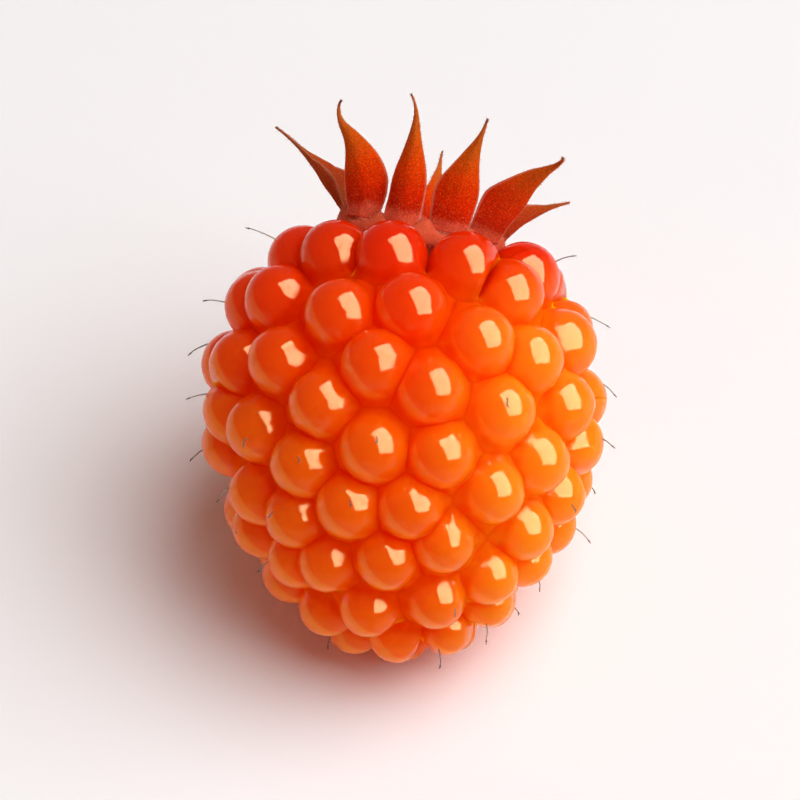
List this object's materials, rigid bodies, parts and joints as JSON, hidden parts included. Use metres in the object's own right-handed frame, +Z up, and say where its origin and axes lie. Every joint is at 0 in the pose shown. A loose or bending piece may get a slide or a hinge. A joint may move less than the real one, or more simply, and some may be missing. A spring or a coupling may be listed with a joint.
{
  "type": "salmonberry",
  "caption": "Ripe orange salmonberry with plump glossy drupelets, dried styles and a spread red calyx, lying on its flank.",
  "frame": {"origin": "middle of the flat of one of the drupelets that bear the fruit, in the plane that it rests on", "axes": "+Z up from the surface that it rests on; the fruit's axis rises from the tip at -Y to the calyx at +Y; +X is to the right, seen from the tip"},
  "size_m": [0.0192, 0.0242, 0.0208],
  "materials": {
    "flesh": "wet-looking, translucent orange fruit skin, red at the calyx end",
    "calyx_down": "pale pink down over brick red tissue",
    "sepal": "velvety brick red leaf, brown at the point",
    "stalk": "dry broken green-brown stalk",
    "dried_style": "dry dark brown hair"
  },
  "bodies": {
    "root": {"calyx_cup": "calyx_down", "drupelets": "flesh", "pedicel_stub": "stalk", "sepal_1": "sepal", "sepal_2": "sepal", "sepal_3": "sepal", "sepal_4": "sepal", "sepal_5": "sepal", "sepal_6": "sepal", "sepal_7": "sepal", "style_01": "dried_style", "style_02": "dried_style", "style_03": "dried_style", "style_04": "dried_style", "style_05": "dried_style", "style_06": "dried_style", "style_07": "dried_style", "style_08": "dried_style", "style_09": "dried_style", "style_10": "dried_style", "style_11": "dried_style", "style_12": "dried_style", "style_13": "dried_style", "style_14": "dried_style", "style_15": "dried_style", "style_16": "dried_style", "style_17": "dried_style", "style_18": "dried_style", "style_19": "dried_style", "style_20": "dried_style", "style_21": "dried_style", "style_22": "dried_style", "style_23": "dried_style", "style_24": "dried_style", "style_25": "dried_style", "style_26": "dried_style", "style_27": "dried_style", "style_28": "dried_style", "style_29": "dried_style", "style_30": "dried_style", "style_31": "dried_style", "style_32": "dried_style", "style_33": "dried_style", "style_34": "dried_style", "style_35": "dried_style", "style_36": "dried_style", "style_37": "dried_style", "style_38": "dried_style", "style_39": "dried_style", "style_40": "dried_style", "style_41": "dried_style", "style_42": "dried_style"}
  },
  "joints": []
}
